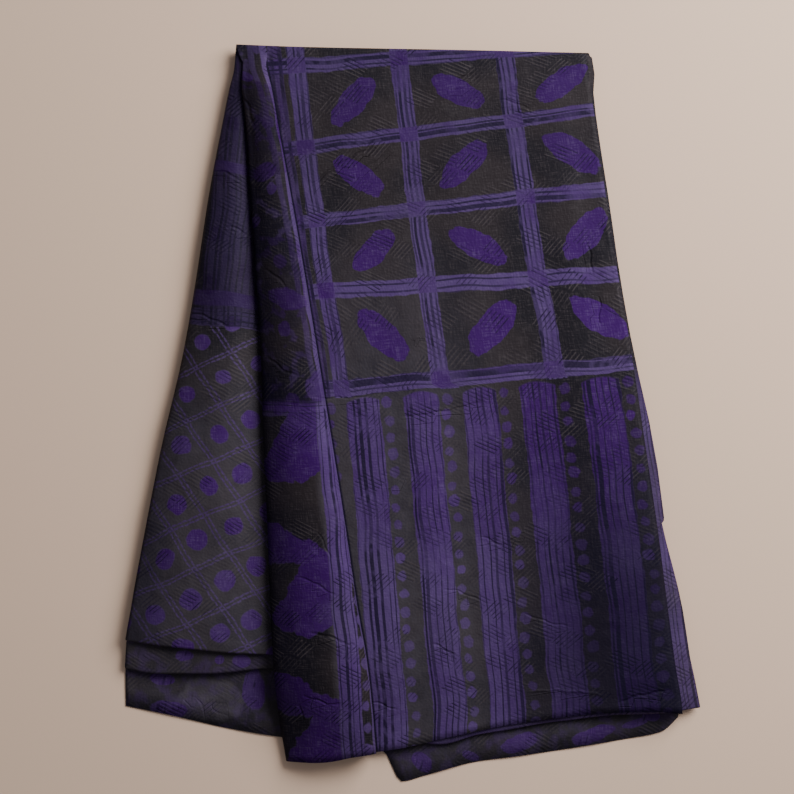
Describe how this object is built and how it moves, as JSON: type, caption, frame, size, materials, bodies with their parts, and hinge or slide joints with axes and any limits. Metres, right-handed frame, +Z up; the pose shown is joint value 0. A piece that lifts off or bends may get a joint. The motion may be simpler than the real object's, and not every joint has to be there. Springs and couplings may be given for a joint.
{
  "type": "folded printed fabric",
  "caption": "Length of printed cotton cloth, folded back and forth into a flat pile and laid down, with one side gathered in a soft roll that overlaps the front.",
  "frame": {"origin": "centre of the pile's outline, on the surface that it rests on", "axes": "+Z up, +Y towards the top fold, +X to the right as seen from above with the top fold away from the viewer"},
  "size_m": [0.6024, 0.7721, 0.0436],
  "materials": {
    "printed_cotton": "matte woven cotton, dark ground with violet print"
  },
  "bodies": {
    "root": {"cloth": "printed_cotton"}
  },
  "joints": []
}
